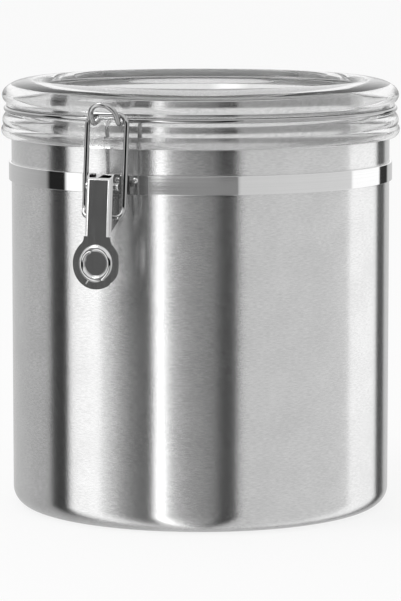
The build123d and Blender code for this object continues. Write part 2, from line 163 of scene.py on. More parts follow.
class Bench:
    """Adds nodes to one tree."""

    def __init__(self, tree: bpy.types.NodeTree) -> None:
        """Starts on an empty tree."""
        self.tree = tree
        tree.nodes.clear()

    def node(
        self, kind: str, settings: dict | None = None, values: dict | None = None
    ) -> list[Maths]:
        """Adds a node.

        Args:
            kind: the node's type, such as "ShaderNodeMath".
            settings: its properties. "stops" holds a colour ramp's (place, colour) pairs.
            values: numbers, colours or links by socket name or number.

        Returns:
            Its outputs, in order.
        """
        made = self.tree.nodes.new(kind)
        for name, value in (settings or {}).items():
            if name == "stops":
                self._set_stops(made.color_ramp, value)
            else:
                setattr(made, name, value)
        for name, value in (values or {}).items():
            if isinstance(value, Maths):
                self.tree.links.new(value.socket, made.inputs[name])
            else:
                made.inputs[name].default_value = value
        return [Maths(self, socket) for socket in made.outputs]

    def _set_stops(self, ramp: bpy.types.ColorRamp, stops: list[tuple[float, tuple]]) -> None:
        """Gives a colour ramp its stops."""
        while len(ramp.elements) > len(stops):
            ramp.elements.remove(ramp.elements[-1])
        while len(ramp.elements) < len(stops):
            ramp.elements.new(1.0)
        for element, (place, colour) in zip(ramp.elements, stops):
            element.position = place
            element.color = colour

    def noise(self, where: Maths, scale: float, detail: float = 2.0) -> Maths:
        """A soft noise of 0 to 1 at a place."""
        values = {"Vector": where, "Scale": scale, "Detail": detail}
        return self.node("ShaderNodeTexNoise", None, values)[0]

    def stretched(self, scale: Triple) -> Maths:
        """Object coordinates, in metres, times a scale for each axis."""
        place = self.node("ShaderNodeTexCoord")[3]
        settings = {"operation": "MULTIPLY"}
        return self.node("ShaderNodeVectorMath", settings, {0: place, 1: scale})[0]

    def blend(self, share: Maths, first: tuple, second: tuple) -> Maths:
        """A colour between two others."""
        settings = {"data_type": "RGBA"}
        return self.node("ShaderNodeMix", settings, {0: share, 6: first, 7: second})[2]

    def bump(self, height: Maths, depth: float, strength: float) -> Maths:
        """A normal tilted by a height of 0 to 1 that stands for a depth in metres."""
        values = {"Strength": strength, "Distance": depth, "Height": height}
        return self.node("ShaderNodeBump", None, values)[0]


def grey(level: float) -> Colour:
    """A neutral colour."""
    return (level, level, level, 1.0)


def new_material(name: str) -> tuple[bpy.types.Material, Bench]:
    """A material and the bench of its nodes."""
    material = bpy.data.materials.new(name)
    material.use_nodes = True
    return material, Bench(material.node_tree)


@dataclass(frozen=True)
class Steel:
    """Bare steel: a base tone, its gloss and the fine lines that working it left.

    Above bright_height, where that is given, the steel has bright_roughness. Where an inner tone is
    given, the surfaces that face the Z axis have that tone and inner_roughness. That lighter inner
    tone is painted light: it lifts the can's inside, seen through the lid, above its real shade.
    """

    name: str
    light: float
    dark: float
    roughness: float
    roughness_spread: float
    line_scale: Triple
    line_depth: float
    line_strength: float
    line_detail: float = 3.0
    line_share: float = 0.7
    blotch_scale: float = 60.0
    tint_range: Pair = (0.3, 0.7)
    brushed: float = 0.0
    brush_turn: float = 0.25
    grain_scale: float = 1500.0
    grain_share: float = 0.0
    bright_height: float = 0.0
    bright_border: float = 0.5 * MM
    bright_roughness: float = 0.0
    inner_painted_light: float = 0.0
    inner_border: float = 0.03
    inner_roughness: float = 0.5

    def material(self) -> bpy.types.Material:
        """The finish as nodes.

        Returns:
            A metal whose lines tint it, change its gloss and tilt its surface.
        """
        material, bench = new_material(self.name)
        lines = bench.noise(bench.stretched(self.line_scale), 1.0, self.line_detail)
        place = bench.stretched((1.0, 1.0, 1.0))
        blotches = bench.noise(place, self.blotch_scale)
        tint = lines * self.line_share + blotches * (1.0 - self.line_share)
        colour = bench.blend(tint.step(*self.tint_range), grey(self.dark), grey(self.light))
        gloss = (lines - 0.5) * self.roughness_spread + self.roughness
        if self.bright_height:
            height_here = bench.node("ShaderNodeSeparateXYZ", None, {0: place})[2]
            bright = height_here.step(self.bright_height - self.bright_border, self.bright_height)
            gloss = gloss.towards(self.bright_roughness, bright)
        # painted light: surfaces that face the axis get a lighter tone, which lifts the can's
        # inside where it shows through the lid
        if self.inner_painted_light:
            normal = bench.node("ShaderNodeTexCoord")[1]
            settings = {"operation": "DOT_PRODUCT"}
            facing = bench.node("ShaderNodeVectorMath", settings, {0: place, 1: normal})[1]
            inside = 1.0 - facing.step(0.0, self.inner_border)
            gloss = gloss.towards(self.inner_roughness, inside)
            colour = bench.blend(inside, colour, grey(self.inner_painted_light))
        grain = bench.noise(place, self.grain_scale)
        height = lines * (1.0 - self.grain_share) + grain * self.grain_share
        values = {
            "Base Color": colour,
            "Roughness": gloss,
            "Metallic": 1.0,
            "Anisotropic": self.brushed,
            "Anisotropic Rotation": self.brush_turn,
            "Normal": bench.bump(height, self.line_depth, self.line_strength),
        }
        shader = bench.node("ShaderNodeBsdfPrincipled", None, values)[0]
        bench.node("ShaderNodeOutputMaterial", None, {0: shader})
        return material


@dataclass(frozen=True)
class ClearMoulding:
    """Clear moulded plastic, faintly wavy and a little duller where hands rub it."""

    name: str
    colour: Colour
    roughness: float
    index: float
    wave_scale: float
    wave_depth: float
    wave_strength: float = 0.3
    rub_ratio: float = 6.0
    rub_range: Pair = (0.45, 0.8)

    def material(self) -> bpy.types.Material:
        """The finish as nodes.

        Returns:
            A see-through plastic with a clear gloss.
        """
        material, bench = new_material(self.name)
        place = bench.stretched((1.0, 1.0, 1.0))
        waves = bench.noise(place, self.wave_scale)
        rub = bench.noise(place, self.wave_scale * self.rub_ratio)
        values = {
            "Base Color": self.colour,
            "Roughness": rub.step(*self.rub_range) * self.roughness,
            "Transmission Weight": 1.0,
            "IOR": self.index,
            "Normal": bench.bump(waves, self.wave_depth, self.wave_strength),
        }
        shader = bench.node("ShaderNodeBsdfPrincipled", None, values)[0]
        bench.node("ShaderNodeOutputMaterial", None, {0: shader})
        return material


@dataclass(frozen=True)
class Silicone:
    """Soft milky silicone with a satin skin."""

    name: str
    light: Colour
    dark: Colour
    roughness: float
    roughness_spread: float
    cloud_scale: float
    grain_scale: float
    grain_depth: float
    grain_strength: float

    def material(self) -> bpy.types.Material:
        """The finish as nodes.

        Returns:
            A dull, slightly uneven rubber.
        """
        material, bench = new_material(self.name)
        place = bench.stretched((1.0, 1.0, 1.0))
        cloud = bench.noise(place, self.cloud_scale)
        grain = bench.noise(place, self.grain_scale)
        values = {
            "Base Color": bench.blend(cloud, self.dark, self.light),
            "Roughness": grain * self.roughness_spread + self.roughness,
            "Normal": bench.bump(grain, self.grain_depth, self.grain_strength),
        }
        shader = bench.node("ShaderNodeBsdfPrincipled", None, values)[0]
        bench.node("ShaderNodeOutputMaterial", None, {0: shader})
        return material


@dataclass
class Finishes:
    """One material for each finish of the canister."""

    can: bpy.types.Material
    band: bpy.types.Material
    bracket: bpy.types.Material
    rivet: bpy.types.Material
    lever: bpy.types.Material
    wire: bpy.types.Material
    lid: bpy.types.Material
    gasket: bpy.types.Material

    @classmethod
    def make(cls) -> "Finishes":
        """Builds every material once."""
        return cls(
            can=Steel(
                "brushed_can_steel",
                light=0.76,
                dark=0.64,
                roughness=0.22,
                roughness_spread=0.06,
                line_scale=(450.0, 450.0, 2600.0),
                line_depth=0.05 * MM,
                line_strength=0.5,
                brushed=1.0,
                grain_share=0.6,
                bright_height=182.0 * MM,
                bright_roughness=0.09,
                # painted light: this lighter inner tone lifts the can's inside above its real shade
                inner_painted_light=0.86,
            ).material(),
            band=Steel(
                "polished_band_steel",
                light=0.8,
                dark=0.76,
                roughness=0.05,
                roughness_spread=0.03,
                line_scale=(8.0, 8.0, 1800.0),
                line_depth=0.01 * MM,
                line_strength=0.1,
            ).material(),
            # painted shade: a darker copy of the band's steel, whose darker tone stands in for
            # shade on the brackets
            bracket=Steel(
                "stamped_bracket_steel_painted_shade",
                light=0.52,
                dark=0.44,
                roughness=0.08,
                roughness_spread=0.04,
                line_scale=(8.0, 8.0, 1800.0),
                line_depth=0.01 * MM,
                line_strength=0.1,
            ).material(),
            rivet=Steel(
                "rivet_steel",
                light=0.72,
                dark=0.6,
                roughness=0.12,
                roughness_spread=0.08,
                line_scale=(900.0, 900.0, 900.0),
                line_depth=0.01 * MM,
                line_strength=0.2,
            ).material(),
            lever=Steel(
                "pressed_lever_steel",
                light=0.66,
                dark=0.6,
                roughness=0.1,
                roughness_spread=0.06,
                line_scale=(500.0, 500.0, 60.0),
                line_depth=0.01 * MM,
                line_strength=0.15,
            ).material(),
            wire=Steel(
                "drawn_wire_steel",
                light=0.46,
                dark=0.4,
                roughness=0.05,
                roughness_spread=0.04,
                line_scale=(700.0, 700.0, 700.0),
                line_depth=0.01 * MM,
                line_strength=0.1,
            ).material(),
            lid=ClearMoulding(
                "clear_lid_plastic",
                colour=grey(0.985),
                roughness=0.03,
                index=1.49,
                wave_scale=18.0,
                wave_depth=0.02 * MM,
            ).material(),
            gasket=Silicone(
                "milky_silicone",
                light=grey(0.62),
                dark=grey(0.55),
                roughness=0.42,
                roughness_spread=0.15,
                cloud_scale=150.0,
                grain_scale=1500.0,
                grain_depth=0.03 * MM,
                grain_strength=0.4,
            ).material(),
        )


@dataclass
class Outline:
    """Half of a turned piece's section, as points of (radius, height)."""

    points: list[Pair] = field(default_factory=list)

    def line(self, *ends: Pair) -> "Outline":
        """Straight runs to each of the ends."""
        self.points.extend(ends)
        return self

    def arc(self, via: Pair, end: Pair, steps: int = 10) -> "Outline":
        """An arc from the last point.

        Args:
            via: a point that the arc goes through.
            end: where it ends.
            steps: how many runs stand for it.

        Returns:
            This outline.
        """
        a, b, c = (Vector(p) for p in (self.points[-1], via, end))
        turn = 2 * (a.x * (b.y - c.y) + b.x * (c.y - a.y) + c.x * (a.y - b.y))
        squares = [p.length_squared for p in (a, b, c)]
        rises = (b.y - c.y, c.y - a.y, a.y - b.y)
        runs = (c.x - b.x, a.x - c.x, b.x - a.x)
        centre = Vector(
            [sum(q * side for q, side in zip(squares, sides)) / turn for sides in (rises, runs)]
        )
        start_angle = math.atan2(a.y - centre.y, a.x - centre.x)
        via_angle = math.atan2(b.y - centre.y, b.x - centre.x)
        end_angle = math.atan2(c.y - centre.y, c.x - centre.x)
        sweep = (end_angle - start_angle) % math.tau
        if (via_angle - start_angle) % math.tau > sweep:
            sweep -= math.tau
        radius = (a - centre).length
        for i in range(1, steps + 1):
            angle = start_angle + sweep * i / steps
            self.points.append(
                (centre.x + radius * math.cos(angle), centre.y + radius * math.sin(angle))
            )
        return self

    def curve(self, first: Pair, second: Pair, end: Pair, steps: int = 16) -> "Outline":
        """A cubic curve from the last point, pulled by two points, to an end.

        Args:
            first: the point that pulls its start.
            second: the point that pulls its end.
            end: where it ends.
            steps: how many runs stand for it.

        Returns:
            This outline.
        """
        start = self.points[-1]
        for i in range(1, steps + 1):
            t = i / steps
            weights = ((1 - t) ** 3, 3 * t * (1 - t) ** 2, 3 * t * t * (1 - t), t**3)
            spots = (start, first, second, end)
            self.points.append(
                tuple(sum(w * spot[k] for w, spot in zip(weights, spots)) for k in range(2))
            )
        return self


def turned(outline: Outline, steps: int, gap: float = 0.0, start: float = 0.0) -> bmesh.types.BMesh:
    """Spins an outline about Z.

    Args:
        outline: the half section. Where it doesn't start and end on the axis, it is closed.
        steps: how many faces go round.
        gap: the angle that is left out, or 0 for a full turn.
        start: the angle where the spin starts.

    Returns:
        A closed mesh.
    """
    bm = bmesh.new()
    verts = [bm.verts.new((radius, 0.0, height)) for radius, height in outline.points]
    pairs = list(zip(verts, verts[1:]))
    if outline.points[0][0] > 0 or outline.points[-1][0] > 0:
        pairs.append((verts[-1], verts[0]))
    edges = [bm.edges.new(pair) for pair in pairs]
    bmesh.ops.rotate(bm, verts=verts, cent=(0, 0, 0), matrix=Matrix.Rotation(start, 3, "Z"))
    bmesh.ops.spin(
        bm,
        geom=verts + edges,
        axis=(0, 0, 1),
        cent=(0, 0, 0),
        angle=math.tau - gap,
        steps=steps,
        use_merge=gap == 0.0,
    )
    bmesh.ops.remove_doubles(bm, verts=bm.verts, dist=MERGE_DISTANCE)
    if gap:
        rims = [edge for edge in bm.edges if edge.is_boundary]
        bmesh.ops.holes_fill(bm, edges=rims)
    bmesh.ops.recalc_face_normals(bm, faces=bm.faces)
    return bm


def rounded_route(points: list[Vector], bends: list[float], steps: int = 10) -> list[Vector]:
    """A wire's centre line with its corners rounded.

    Args:
        points: the ends and the sharp corners.
        bends: the radius at each corner.
        steps: how many runs stand for a bend.

    Returns:
        Points along the line.
    """
    route = [points[0]]
    for before, corner, after, bend in zip(points, points[1:], points[2:], bends):
        back = (before - corner).normalized()
        ahead = (after - corner).normalized()
        half_turn = (math.pi - back.angle(ahead)) / 2
        set_back = bend * math.tan(half_turn)
        centre = corner + (back + ahead).normalized() * (bend / math.cos(half_turn))
        first = corner + back * set_back - centre
        axis = first.cross(corner + ahead * set_back - centre).normalized()
        for i in range(steps + 1):
            turn = Matrix.Rotation(2 * half_turn * i / steps, 3, axis)
            route.append(centre + turn @ first)
    route.append(points[-1])
    return route


def arc_route(
    centre: Vector, first: Vector, second: Vector, sweep: float, steps: int
) -> list[Vector]:
    """Points on an arc.

    Args:
        centre: the arc's centre.
        first: from the centre to the arc's start.
        second: from the centre to the point a quarter turn on.
        sweep: the angle of the arc.
        steps: how many runs stand for it.

    Returns:
        Points from the start to the end.
    """
    angles = [sweep * i / steps for i in range(steps + 1)]
    return [centre + first * math.cos(angle) + second * math.sin(angle) for angle in angles]


def mirrored_route(half: list[Vector]) -> list[Vector]:
    """A line that starts on X = 0 on its +X side, led on to its mirror image."""
    other = [Vector((-p.x, p.y, p.z)) for p in half[1:]]
    return list(reversed(half)) + other


def swept_wire(route: list[Vector]) -> bmesh.types.BMesh:
    """Round wire along a route, with rounded ends.

    Args:
        route: points of the centre line.

    Returns:
        A closed mesh.
    """
    spots = [p for p, q in zip(route, route[1:]) if (p - q).length > 2 * MERGE_DISTANCE]
    spots.append(route[-1])
    runs = [(q - p).normalized() for p, q in zip(spots, spots[1:])]
    headings = [runs[0]] + [(a + b).normalized() for a, b in zip(runs, runs[1:])] + [runs[-1]]
    bm = bmesh.new()
    bmesh.ops.create_circle(bm, radius=WIRE_RADIUS, segments=WIRE_SIDES)
    turn = Vector((0, 0, 1)).rotation_difference(headings[0])
    place = Matrix.Translation(spots[0]) @ turn.to_matrix().to_4x4()
    bmesh.ops.transform(bm, matrix=place, verts=bm.verts)
    rim = list(bm.edges)
    for spot, last_heading, heading in zip(spots[1:], headings, headings[1:]):
        turn = last_heading.rotation_difference(heading) @ turn
        next_place = Matrix.Translation(spot) @ turn.to_matrix().to_4x4()
        made = bmesh.ops.extrude_edge_only(bm, edges=rim)["geom"]
        verts = {part for part in made if isinstance(part, bmesh.types.BMVert)}
        rim = [
            part
            for part in made
            if isinstance(part, bmesh.types.BMEdge) and all(v in verts for v in part.verts)
        ]
        bmesh.ops.transform(bm, matrix=next_place @ place.inverted(), verts=list(verts))
        place = next_place
    ends = [edge for edge in bm.edges if edge.is_boundary]
    bmesh.ops.holes_fill(bm, edges=ends)
    bmesh.ops.recalc_face_normals(bm, faces=bm.faces)
    bmesh.ops.bevel(
        bm,
        geom=ends,
        offset=WIRE_END_ROUND,
        segments=4,
        profile=0.5,
        affect="EDGES",
        material=-1,
    )
    return bm


def node_copy(node: str) -> bmesh.types.BMesh:
    """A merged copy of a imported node's mesh, with its flat faces made whole."""
    bm = bmesh.new()
    bm.from_mesh(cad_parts[node].data)
    bmesh.ops.remove_doubles(bm, verts=bm.verts, dist=MERGE_DISTANCE)
    flat = math.radians(FLAT_DEGREES)
    bmesh.ops.dissolve_limit(bm, angle_limit=flat, verts=bm.verts, edges=bm.edges)
    return bm


def finished(
    bm: bmesh.types.BMesh,
    name: str,
    node: str,
    body: Body,
    material: bpy.types.Material,
    sharp_degrees: float = 32.0,
    even_normals: bool = False,
) -> bpy.types.Object:
    """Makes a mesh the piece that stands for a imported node.

    Args:
        bm: the mesh, in place. It is freed.
        name: the piece's name.
        node: the node that it stands for.
        body: the body that it rides.
        material: its material.
        sharp_degrees: edges that turn by more than this stay sharp.
        even_normals: whether flat faces stay flat beside their rounded edges.

    Returns:
        The piece.
    """
    mesh = bpy.data.meshes.new(name)
    bm.to_mesh(mesh)
    bm.free()
    mesh.shade_smooth()
    mesh.set_sharp_from_angle(angle=math.radians(sharp_degrees))
    mesh.materials.append(material)
    piece = bpy.data.objects.new(name, mesh)
    bpy.context.scene.collection.objects.link(piece)
    if even_normals:
        even = piece.modifiers.new("even normals", "WEIGHTED_NORMAL")
        even.keep_sharp = True
        even.weight = FLAT_WEIGHT
    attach(piece, body.value)
    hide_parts(node)
    log.info("%s stands for %s, %d faces", name, node, len(mesh.polygons))
    return piece


@dataclass
class Can:
    """The drawn can with its band, its brackets, their rivets and the lever's pin."""

    radius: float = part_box("can_body")[1].x
    height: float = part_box("can_body")[1].z
    wall: float = 0.6 * MM
    foot_radius: float = 8.5 * MM
    neck_inset: float = 1.7 * MM
    neck_root: float = 0.6 * MM
    shoulder_slope: float = 6.0 * MM
    shoulder_pulls: Pair = (0.35, 0.15)
    hem_width: float = 1.3 * MM
    hem_depth: float = 4.0 * MM
    ring_radius: float = 66.0 * MM
    ring_half_width: float = 3.5 * MM
    ring_rise: float = 1.0 * MM
    band_thickness: float = 1.2 * MM
    band_edge: float = 0.25 * MM
    band_split: float = 1.0 * MM
    turn_steps: int = 256

    def outline(self) -> Outline:
        """The can's section: base, pressed ring, foot, wall, shoulder, neck and folded hem."""
        foot = self.radius - self.foot_radius
        inner = self.radius - self.wall
        inner_foot = self.foot_radius - self.wall
        low = self.ring_radius - self.ring_half_width
        high = self.ring_radius + self.ring_half_width
        rise, wall, hem = self.ring_rise, self.wall, self.hem_width / 2
        neck, level = self.radius - self.neck_inset, self.height - NECK_RISE
        slope = self.shoulder_slope
        edge, root = level - slope, level + self.neck_root
        low_pull, high_pull = (slope * share for share in self.shoulder_pulls)
        shape = Outline([(0.0, 0.0)])
        shape.line((low, 0.0)).curve(
            (low + rise, 0.0), (low + rise, rise), (low + 2 * rise, rise), 6
        )
        shape.line((high - 2 * rise, rise)).curve(
            (high - rise, rise), (high - rise, 0.0), (high, 0.0), 6
        )
        shape.line((foot, 0.0)).arc(
            (foot + self.foot_radius * CORNER_SHARE, self.foot_radius * (1 - CORNER_SHARE)),
            (self.radius, self.foot_radius),
            16,
        )
        shape.line((self.radius, edge))
        shape.curve((self.radius, edge + low_pull), (neck, level - high_pull), (neck, root))
        shape.line((neck, self.height - hem))
        shape.arc((neck - hem, self.height), (neck - 2 * hem, self.height - hem), 12)
        hem_end = self.height - self.hem_depth
        shape.line((neck - 2 * hem, hem_end), (neck - wall, hem_end))
        shape.line((neck - wall, root))
        shape.curve((neck - wall, level - high_pull), (inner, edge + low_pull), (inner, edge))
        shape.line((inner, self.foot_radius)).arc(
            (foot + inner_foot * CORNER_SHARE, self.foot_radius - inner_foot * CORNER_SHARE),
            (foot, wall),
            16,
        )
        shape.line((high, wall)).curve(
            (high - rise, wall), (high - rise, wall + rise), (high - 2 * rise, wall + rise), 6
        )
        shape.line((low + 2 * rise, wall + rise)).curve(
            (low + rise, wall + rise), (low + rise, wall), (low, wall), 6
        )
        return shape.line((0.0, wall))

    def band(self) -> bmesh.types.BMesh:
        """The strip round the can, with softened edges and its split at the back."""
        low, high = (corner.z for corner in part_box("clamp_band"))
        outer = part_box("clamp_band")[1].x
        inner = outer - self.band_thickness
        edge = self.band_edge
        soft = edge * (1 - CORNER_SHARE)
        shape = Outline([(inner, low)])
        shape.line((outer - edge, low)).arc((outer - soft, low + soft), (outer, low + edge), 4)
        shape.line((outer, high - edge)).arc((outer - soft, high - soft), (outer - edge, high), 4)
        shape.line((inner, high))
        gap = self.band_split / outer
        return turned(shape, self.turn_steps, gap, math.pi / 2 + gap / 2)

    def dress(self, finishes: Finishes) -> None:
        """Makes the can's pieces.

        Args:
            finishes: the materials.
        """
        body = turned(self.outline(), self.turn_steps)
        finished(body, "drawn_can", "can_body", Body.CAN, finishes.can, even_normals=True)
        band, steel = self.band(), finishes.band
        finished(band, "polished_band", "clamp_band", Body.CAN, steel, even_normals=True)
        small = {
            # the brackets keep the band's finish slot but get its darker copy, which holds painted
            # shade
            "latch_bracket": ("latch_hat_bracket", Slot.BAND, finishes.bracket),
            "hinge_bracket": ("hinge_hat_bracket", Slot.BAND, finishes.bracket),
            "latch_bracket_rivets": ("latch_rivets", Slot.RIVET, finishes.rivet),
            "hinge_bracket_rivets": ("hinge_rivets", Slot.RIVET, finishes.rivet),
            "lever_pivot_pin": ("headed_pin", Slot.RIVET, finishes.rivet),
        }
        for node, (name, slot, material) in small.items():
            finished(node_copy(node), name, node, Body.CAN, material, even_normals=True)


@dataclass
class Latch:
    """The lever and the wire bail that it pulls."""

    spread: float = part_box("latch_bail")[1].x - WIRE_RADIUS
    bar_y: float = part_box("latch_bail")[1].y - WIRE_RADIUS
    bar_height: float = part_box("latch_bail")[1].z - WIRE_RADIUS
    pivot_y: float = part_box("latch_bail")[0].y + WIRE_RADIUS
    pivot_height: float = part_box("latch_bail")[0].z + WIRE_RADIUS
    leg_rise: float = 3.6 * MM
    leg_setback: float = 2.2 * MM
    tuck: float = 0.55 * MM
    end_reach: float = 4.9 * MM
    bar_bend: float = 4.5 * MM
    leg_bend: float = 6.0 * MM
    end_bend: float = 2.6 * MM

    def bail_route(self) -> list[Vector]:
        """The centre line of the bail, from one end to the other."""
        leg_y = self.pivot_y + self.leg_setback
        half = rounded_route(
            [
                Vector((0.0, self.bar_y, self.bar_height)),
                Vector((self.spread, self.bar_y, self.bar_height)),
                Vector((self.spread, leg_y, self.pivot_height + self.leg_rise)),
                Vector((self.spread - self.tuck, self.pivot_y, self.pivot_height)),
                Vector((self.end_reach, self.pivot_y, self.pivot_height)),
            ],
            [self.bar_bend, self.leg_bend, self.end_bend],
        )
        return mirrored_route(half)

    def dress(self, finishes: Finishes) -> None:
        """Makes the lever and the bail.

        Args:
            finishes: the materials.
        """
        bail, wire = swept_wire(self.bail_route()), finishes.wire
        finished(bail, "wire_bail", "latch_bail", Body.BAIL, wire, WIRE_SHARP_DEGREES)
        lever, steel = node_copy("latch_lever"), finishes.lever
        finished(
            lever, "pressed_lever", "latch_lever", Body.LEVER, steel, even_normals=True
        )


@dataclass
class Lid:
    """The clear lid with its gasket and the ring wire that hooks and hinges it."""

    can_radius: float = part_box("can_body")[1].x
    rim_height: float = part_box("can_body")[1].z
    base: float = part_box("lid")[0].z
    top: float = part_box("lid")[1].z
    overhang: float = 4.85 * MM
    skirt_clearance: float = 1.7 * MM
    skirt_edge_inset: float = 1.3 * MM
    crest_inset: float = 10.0 * MM
    dish_depth: float = 3.7 * MM
    dish_shoulder: float = 5.6 * MM
    plate: float = 2.6 * MM
    dish_edge_middle: Pair = (0.49, 0.8)
    dish_edge_end: Pair = (0.1, 0.16)
    bore_radius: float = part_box("lid_gasket")[1].x + GASKET_PLAY
    rib_thickness: float = 1.6 * MM
    rib_gap: float = 0.3 * MM
    gasket_width: float = 3.0 * MM
    gasket_height: float = 1.2 * MM
    gasket_round: float = 0.4 * MM
    wire_play: float = 0.08 * MM
    ring_rise: float = 6.9 * MM
    ring_inset: float = 2.4 * MM
    hook_half_width: float = 6.4 * MM
    hook_foot: float = 6.35 * MM
    hook_foot_drop: float = 1.7 * MM
    hook_crown: float = 11.95 * MM
    hook_rise: float = 7.5 * MM
    corner_lead: float = 2.86 * MM
    knee_bend: float = 2.0 * MM
    wire_bend: float = 2.6 * MM
    leg_bend: float = 2.2 * MM
    leg_offset: float = 8.5 * MM
    leg_end: float = 3.3 * MM
    hinge_y: float = 96.5 * MM
    hinge_height: float = 159.6 * MM
    sharp_degrees: float = 40.0
    turn_steps: int = 288
    ring_steps: int = 144
    lower_rib_shares: tuple[Pair, ...] = (
        (0.073, 0.82),
        (0.29, 1.0),
        (0.38, 0.94),
        (0.465, 0.75),
        (0.71, 0.87),
        (0.905, 0.64),
    )
    upper_rib_shares: tuple[Pair, ...] = ((0.12, 0.47), (0.257, 0.80), (0.40, 0.907))
    shoulder_curve_share: float = 0.55

    def __post_init__(self) -> None:
        """Works out the places that follow from the sizes."""
        self.shoulder_height = self.rim_height - NECK_RISE
        self.ring_height = self.shoulder_height + self.ring_rise
        self.ring_radius = self.can_radius + self.overhang - self.ring_inset
        self.crest_radius = self.can_radius - self.crest_inset
        self.skirt_inner = self.can_radius + self.skirt_clearance
        self.gasket_base = self.rim_height + GASKET_PLAY
        self.channel_top = self.gasket_base + self.gasket_height + GASKET_PLAY
        self.gasket_outer = self.bore_radius - GASKET_PLAY
        self.gasket_inner = self.gasket_outer - self.gasket_width

    def _ribs(self, shares: tuple[Pair, ...], base: float, height: float) -> list[Pair]:
        """Points of the ribbed side from their shares of a height and of the overhang."""
        side = self.can_radius
        return [(side + reach * self.overhang, base + rise * height) for rise, reach in shares]

    def outline(self) -> Outline:
        """The lid's section: ribs, wire groove, shoulder, dished top, gasket channel and bore."""
        groove_half = WIRE_RADIUS + self.wire_play
        groove_low = self.ring_height - groove_half
        groove_high = self.ring_height + groove_half
        low = self._ribs(self.lower_rib_shares, self.base, groove_low - self.base)
        high = self._ribs(self.upper_rib_shares, groove_high, self.top - groove_high)
        shape = Outline([(self.skirt_inner, self.base)])
        shape.line((self.skirt_inner + self.skirt_edge_inset, self.base))
        shape.arc(low[0], low[1]).arc(low[2], low[3]).arc(low[4], low[5], 14)
        shape.line((self.ring_radius, groove_low))
        groove_bottom = (self.ring_radius - groove_half, self.ring_height)
        shape.arc(groove_bottom, (self.ring_radius, groove_high), 16)
        shape.line(high[0]).arc(high[1], high[2])
        side, brow = high[2]
        crest = (self.crest_radius, self.top)
        share = self.shoulder_curve_share
        shape.curve(
            (side, brow + (self.top - brow) * share),
            (self.crest_radius + (side - self.crest_radius) * share, self.top),
            crest,
            28,
        )
        dish = self.top - self.dish_depth
        dish_radius = self.crest_radius - self.dish_shoulder
        middle_in, middle_up = self.dish_edge_middle
        end_out, end_up = self.dish_edge_end
        shape.arc(
            (
                self.crest_radius - self.dish_shoulder * middle_in,
                dish + self.dish_depth * middle_up,
            ),
            (dish_radius + self.dish_shoulder * end_out, dish + self.dish_depth * end_up),
            14,
        )
        rib_outer = self.gasket_inner - GASKET_PLAY
        rib_inner = rib_outer - self.rib_thickness
        rib_base = self.rim_height + self.rib_gap
        return shape.line(
            (dish_radius, dish),
            (0.0, dish),
            (0.0, dish - self.plate),
            (rib_inner, dish - self.plate),
            (rib_inner, rib_base),
            (rib_outer, rib_base),
            (rib_outer, self.channel_top),
            (self.bore_radius, self.channel_top),
        )

    def gasket_outline(self) -> Outline:
        """The gasket's section, with rounded corners."""
        low, high = self.gasket_base, self.gasket_base + self.gasket_height
        inner, outer, corner = self.gasket_inner, self.gasket_outer, self.gasket_round
        soft = corner * (1 - CORNER_SHARE)
        shape = Outline([(inner + corner, low)])
        shape.line((outer - corner, low))
        shape.arc((outer - soft, low + soft), (outer, low + corner), 5)
        shape.line((outer, high - corner))
        shape.arc((outer - soft, high - soft), (outer - corner, high), 5)
        shape.line((inner + corner, high))
        shape.arc((inner + soft, high - soft), (inner, high - corner), 5)
        shape.line((inner, low + corner))
        return shape.arc((inner + soft, low + soft), (inner + corner, low), 5)

    def _ring_corner(self, x: float, side: int) -> tuple[Vector, Vector]:
        """The corner of a leg at X with the ring, and where the ring's circle starts."""
        start_x = x + self.corner_lead
        start_y = side * math.sqrt(self.ring_radius**2 - start_x**2)
        run = (start_x - x) * self.ring_radius / abs(start_y)
        corner_y = start_y + side * run * start_x / self.ring_radius
        corner = Vector((x, corner_y, self.ring_height))
        return corner, Vector((start_x, start_y, self.ring_height))

    def wire_route(self) -> list[Vector]:
        """The ring wire's centre line: hinge end, leg, ring, hook and back the same way."""
        foot_y = -(self.ring_radius + self.hook_foot)
        crown_y = -(self.ring_radius + self.hook_crown)
        crown = Vector((0.0, crown_y, self.ring_height + self.hook_rise))
        foot_height = self.ring_height - self.hook_foot_drop
        down = (Vector((0.0, foot_y, foot_height)) - crown).normalized()
        half_width = self.hook_half_width
        sideways = Vector((half_width, 0.0, 0.0))
        arch = arc_route(crown + down * half_width, -down * half_width, sideways, math.pi / 2, 16)
        front_corner, ring_start = self._ring_corner(half_width, -1)
        rear_corner, ring_end = self._ring_corner(self.leg_offset, 1)
        foot = rounded_route(
            [arch[-1], Vector((half_width, foot_y, foot_height)), front_corner, ring_start],
            [self.knee_bend, self.wire_bend],
        )
        start_angle = math.atan2(ring_start.y, ring_start.x)
        sweep = math.atan2(ring_end.y, ring_end.x) - start_angle
        out = Vector((math.cos(start_angle), math.sin(start_angle), 0.0)) * self.ring_radius
        along = Vector((-out.y, out.x, 0.0))
        middle = Vector((0.0, 0.0, self.ring_height))
        side = arc_route(middle, out, along, sweep, self.ring_steps)
        leg = rounded_route(
            [
                ring_end,
                rear_corner,
                Vector((self.leg_offset, self.hinge_y, self.ring_height)),
                Vector((self.leg_offset, self.hinge_y, self.hinge_height)),
                Vector((self.leg_end, self.hinge_y, self.hinge_height)),
            ],
            [self.leg_bend, self.wire_bend, self.wire_bend],
        )
        return mirrored_route(arch + foot[1:] + side[1:] + leg[1:])

